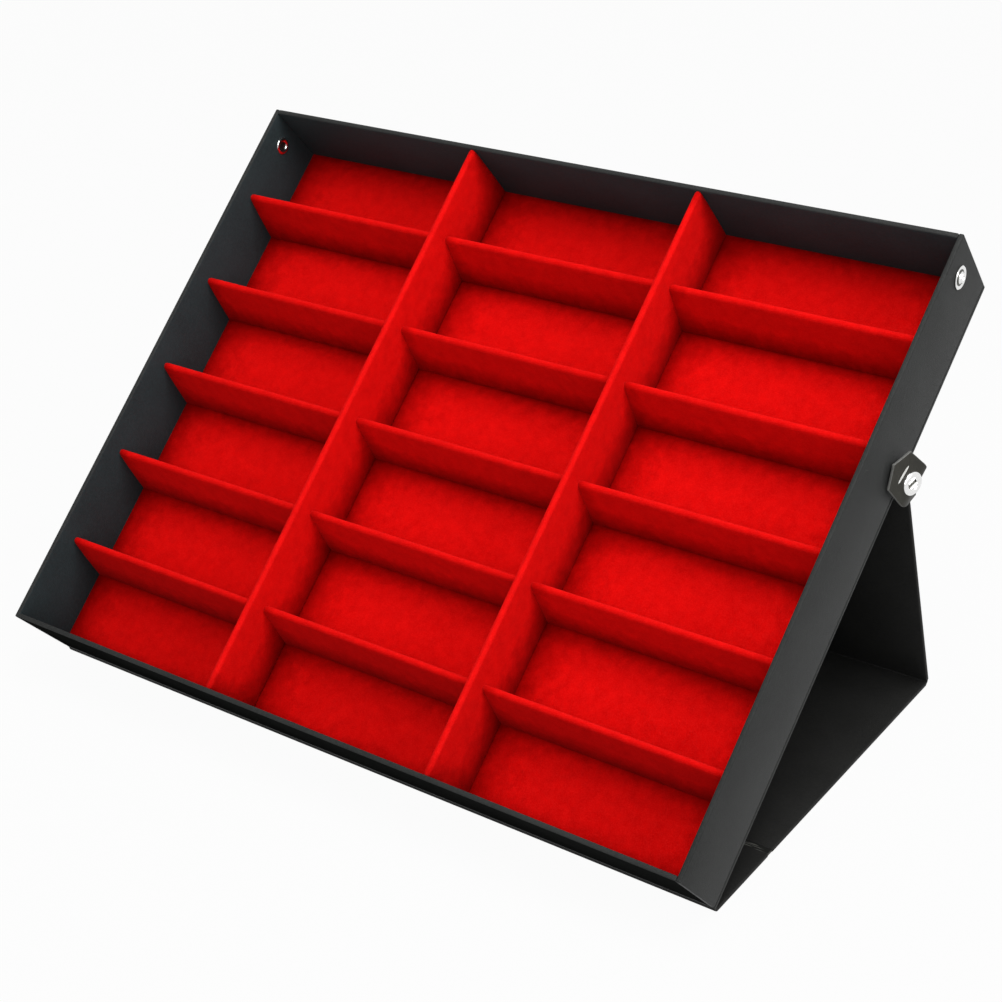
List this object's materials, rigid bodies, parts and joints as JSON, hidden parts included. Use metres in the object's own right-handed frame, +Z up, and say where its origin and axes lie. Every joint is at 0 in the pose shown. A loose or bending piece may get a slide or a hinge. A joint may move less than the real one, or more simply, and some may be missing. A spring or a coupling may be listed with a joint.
{
  "type": "eyeglasses display case",
  "caption": "Shallow open display tray with velvet cells for folded eyeglasses, propped up on its own folded leatherette cover like an easel; tabs with press snaps close the cover.",
  "frame": {"origin": "middle of the bounding box in X and Y, at the table under the cover, as displayed", "axes": "+X across the tray to the right as seen from the front, +Y to the back, +Z up; the cover lies on Z = 0"},
  "size_m": [0.4968, 0.3208, 0.2865],
  "materials": {
    "leatherette": "black grained leatherette over greyboard, satin",
    "velvet": "red velvet flock, matte",
    "snap_metal": "polished nickel",
    "tab_leather": "black leather strap, cut edges lighter"
  },
  "bodies": {
    "tray": {"tray_back": "leatherette", "wall_bottom": "leatherette", "wall_top": "leatherette", "wall_left": "leatherette", "wall_right": "leatherette", "floor_pad": "velvet", "divider_long_left": "velvet", "divider_long_right": "velvet", "divider_r1c1": "velvet", "divider_r1c2": "velvet", "divider_r1c3": "velvet", "divider_r2c1": "velvet", "divider_r2c2": "velvet", "divider_r2c3": "velvet", "divider_r3c1": "velvet", "divider_r3c2": "velvet", "divider_r3c3": "velvet", "divider_r4c1": "velvet", "divider_r4c2": "velvet", "divider_r4c3": "velvet", "divider_r5c1": "velvet", "divider_r5c2": "velvet", "divider_r5c3": "velvet", "stud_left": "snap_metal", "stud_right": "snap_metal", "eyelet_left": "snap_metal", "eyelet_right": "snap_metal", "hinge_flap": "leatherette"},
    "cover_spine": {"spine_board": "leatherette", "crease_tray": "leatherette"},
    "cover_base": {"base_board": "leatherette", "crease_front": "leatherette", "crease_back": "leatherette"},
    "cover_rear": {"rear_board": "leatherette", "tab_root_left": "tab_leather", "tab_root_right": "tab_leather"},
    "tab_left": {"tab_left": "tab_leather", "socket_left": "snap_metal", "cap_left": "snap_metal"},
    "tab_right": {"tab_right": "tab_leather", "socket_right": "snap_metal", "cap_right": "snap_metal"}
  },
  "joints": [
    {"name": "cover_hinge", "type": "hinge", "parent": "tray", "child": "cover_spine", "pos_m": [0, -0.1253, 0.00125], "axis": [1, 0, 0], "range_deg": [-229.82, 0]},
    {"name": "front_crease", "type": "hinge", "parent": "cover_spine", "child": "cover_base", "pos_m": [0, -0.06705, 0.00125], "axis": [1, 0, 0], "range_deg": [-90, 0]},
    {"name": "back_crease", "type": "hinge", "parent": "cover_base", "child": "cover_rear", "pos_m": [0, 0.12845, 0.00125], "axis": [1, 0, 0], "range_deg": [-107.9, 0]},
    {"name": "tab_fold_left", "type": "hinge", "parent": "cover_rear", "child": "tab_left", "pos_m": [-0.246, 0.07819, 0.15683], "axis": [0, -0.1753, -0.9845], "range_deg": [0, 180]},
    {"name": "tab_fold_right", "type": "hinge", "parent": "cover_rear", "child": "tab_right", "pos_m": [0.246, 0.07819, 0.15683], "axis": [0, 0.1753, 0.9845], "range_deg": [0, 180]}
  ]
}
